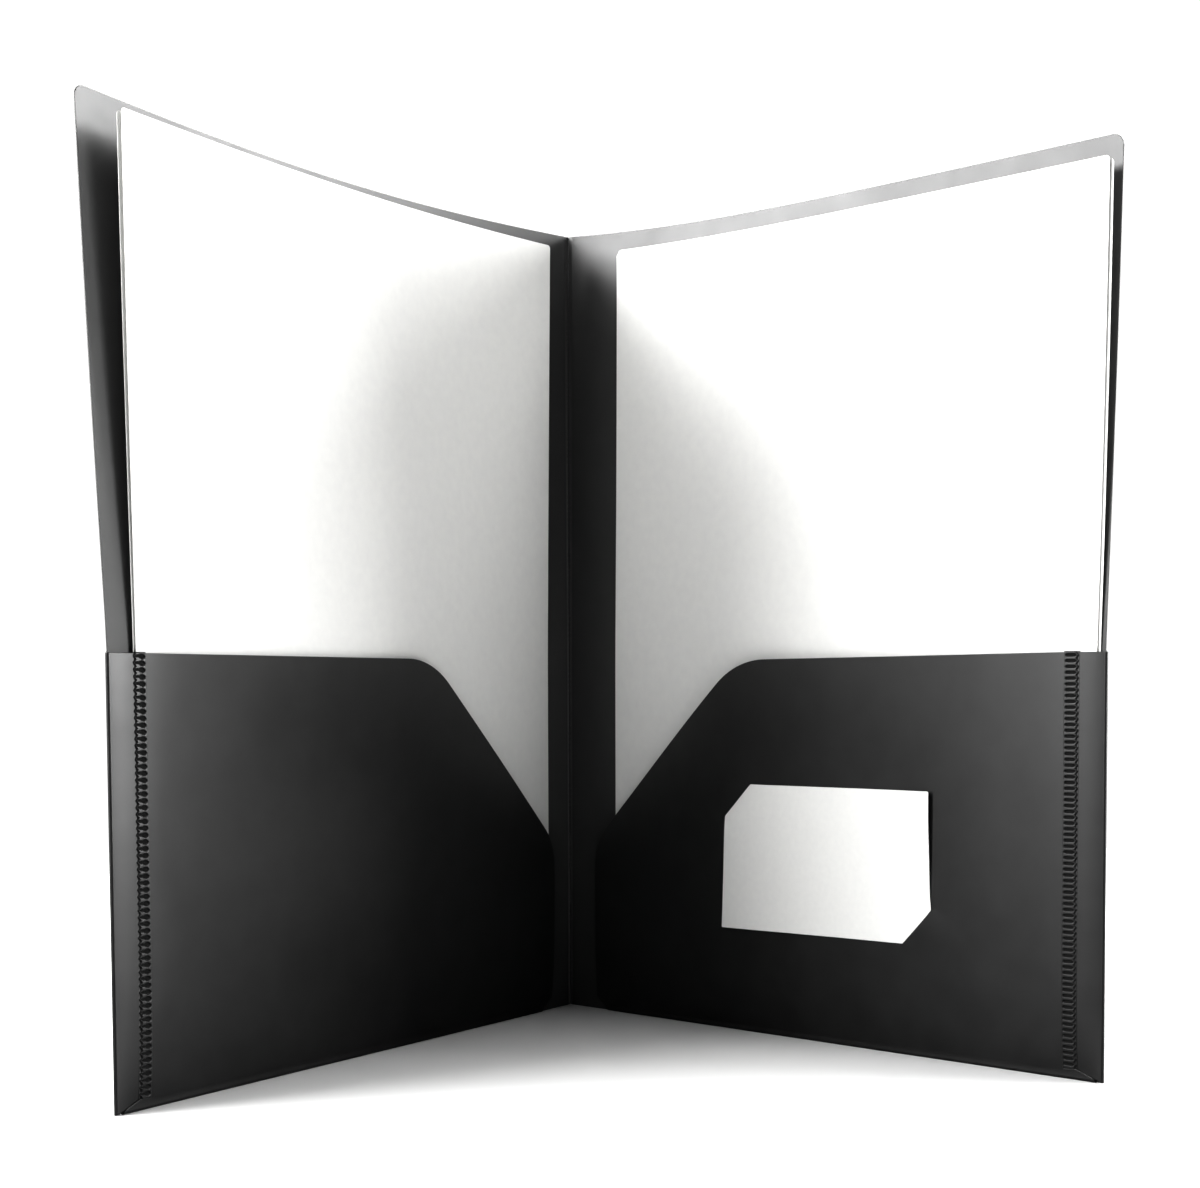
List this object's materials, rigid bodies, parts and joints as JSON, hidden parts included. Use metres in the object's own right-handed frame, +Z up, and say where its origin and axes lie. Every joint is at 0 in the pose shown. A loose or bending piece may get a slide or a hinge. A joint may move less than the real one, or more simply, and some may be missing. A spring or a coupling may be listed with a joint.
{
  "type": "document folder",
  "caption": "Upright two-pocket polypropylene folder, open like a book, with welded side flaps, loose letter sheets behind each pocket and a business card held in slits.",
  "frame": {"origin": "on the table, under the middle of the folder's bounding box as it stands half open", "axes": "+Z up along the spine crease, which stands at the back; -Y out of the open mouth towards the reader; +X to the half that holds the business card"},
  "size_m": [0.3088, 0.194, 0.292],
  "materials": {
    "black_polypropylene": "satin",
    "folded_polypropylene": "satin",
    "melted_seam": "gloss",
    "writing_paper": "matte",
    "card_stock": "matte"
  },
  "bodies": {
    "left_half": {"left_cover": "black_polypropylene", "left_bottom_fold": "folded_polypropylene", "left_side_flap": "folded_polypropylene", "left_pocket": "black_polypropylene", "left_weld_seam": "melted_seam", "spine_crease": "folded_polypropylene"},
    "right_half": {"right_cover": "black_polypropylene", "right_bottom_fold": "folded_polypropylene", "right_side_flap": "folded_polypropylene", "right_pocket": "black_polypropylene", "right_weld_seam": "melted_seam", "business_card": "card_stock"},
    "left_papers": {"left_rear_sheet": "writing_paper", "left_front_sheet": "writing_paper"},
    "right_papers": {"right_rear_sheet": "writing_paper", "right_front_sheet": "writing_paper"}
  },
  "joints": [
    {"name": "spine_fold", "type": "hinge", "parent": "left_half", "child": "right_half", "pos_m": [0.00078, 0.0968, 0], "axis": [0, 0, 1], "range_deg": [-50, 105.3]},
    {"name": "left_papers_slide", "type": "slide", "parent": "left_half", "child": "left_papers", "axis": [0, 0, 1], "range_m": [0, 0.125]},
    {"name": "right_papers_slide", "type": "slide", "parent": "right_half", "child": "right_papers", "axis": [0, 0, 1], "range_m": [0, 0.125]}
  ]
}
